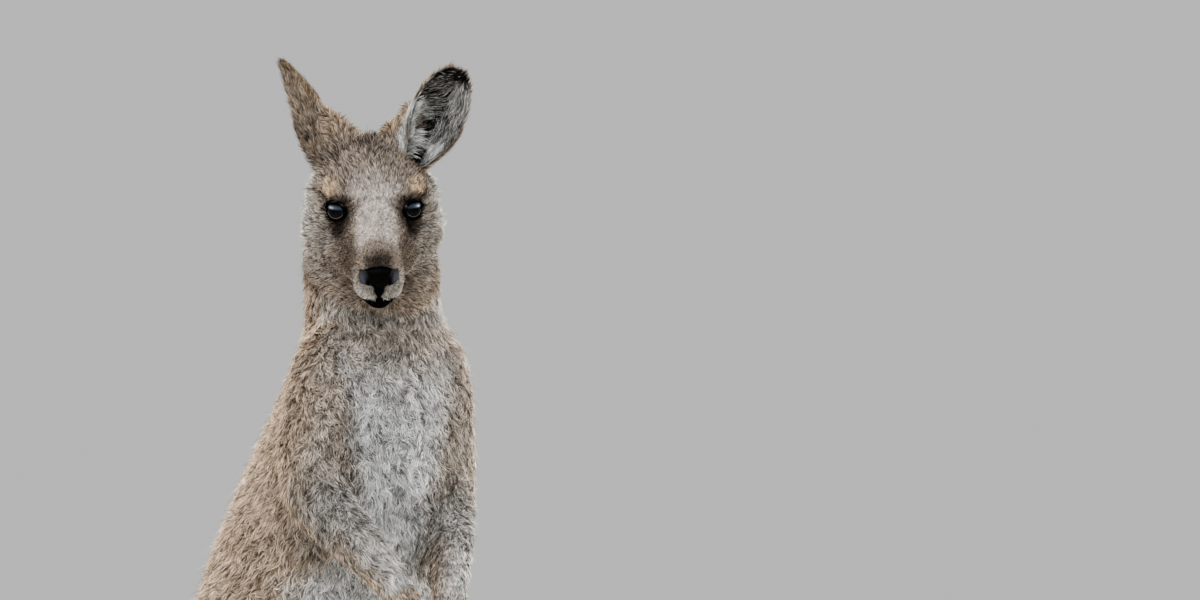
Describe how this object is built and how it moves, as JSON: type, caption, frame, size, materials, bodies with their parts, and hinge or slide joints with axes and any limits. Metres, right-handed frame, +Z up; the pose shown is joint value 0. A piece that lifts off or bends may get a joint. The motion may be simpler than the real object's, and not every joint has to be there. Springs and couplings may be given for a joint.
{
  "type": "grey kangaroo model",
  "caption": "Life-size still model of a young eastern grey kangaroo sitting upright on its hind feet and tail, with its head turned and its forearms held in front.",
  "frame": {"origin": "on the floor, under the middle of the whole animal's bounding box", "axes": "+Z up, -Y the way the chest faces, +X the animal's left; the tail runs out towards +Y"},
  "size_m": [0.2362, 0.9016, 0.791],
  "materials": {
    "coat": "matte fur, grey-brown above and pale grey below",
    "nose": "bare, finely pebbled black skin",
    "eye": "wet, dark brown",
    "claw": "dark horn"
  },
  "bodies": {
    "root": {"head": "coat", "lower_jaw": "coat", "neck": "coat", "chest": "coat", "abdomen": "coat", "tail_base": "coat", "tail_middle": "coat", "tail_tip": "coat", "ear_left": "coat", "upper_arm_left": "coat", "forearm_left": "coat", "hand_left": "coat", "thigh_left": "coat", "shank_left": "coat", "foot_left": "coat", "ear_right": "coat", "upper_arm_right": "coat", "forearm_right": "coat", "hand_right": "coat", "thigh_right": "coat", "shank_right": "coat", "foot_right": "coat", "nose": "nose", "eye_left": "eye", "eye_right": "eye", "claw_first_finger_left": "claw", "claw_second_finger_left": "claw", "claw_third_finger_left": "claw", "claw_fourth_finger_left": "claw", "claw_fifth_finger_left": "claw", "claw_first_finger_right": "claw", "claw_second_finger_right": "claw", "claw_third_finger_right": "claw", "claw_fourth_finger_right": "claw", "claw_fifth_finger_right": "claw", "claw_second_toe_left": "claw", "claw_third_toe_left": "claw", "claw_fourth_toe_left": "claw", "claw_fifth_toe_left": "claw", "claw_second_toe_right": "claw", "claw_third_toe_right": "claw", "claw_fourth_toe_right": "claw", "claw_fifth_toe_right": "claw"}
  },
  "joints": []
}
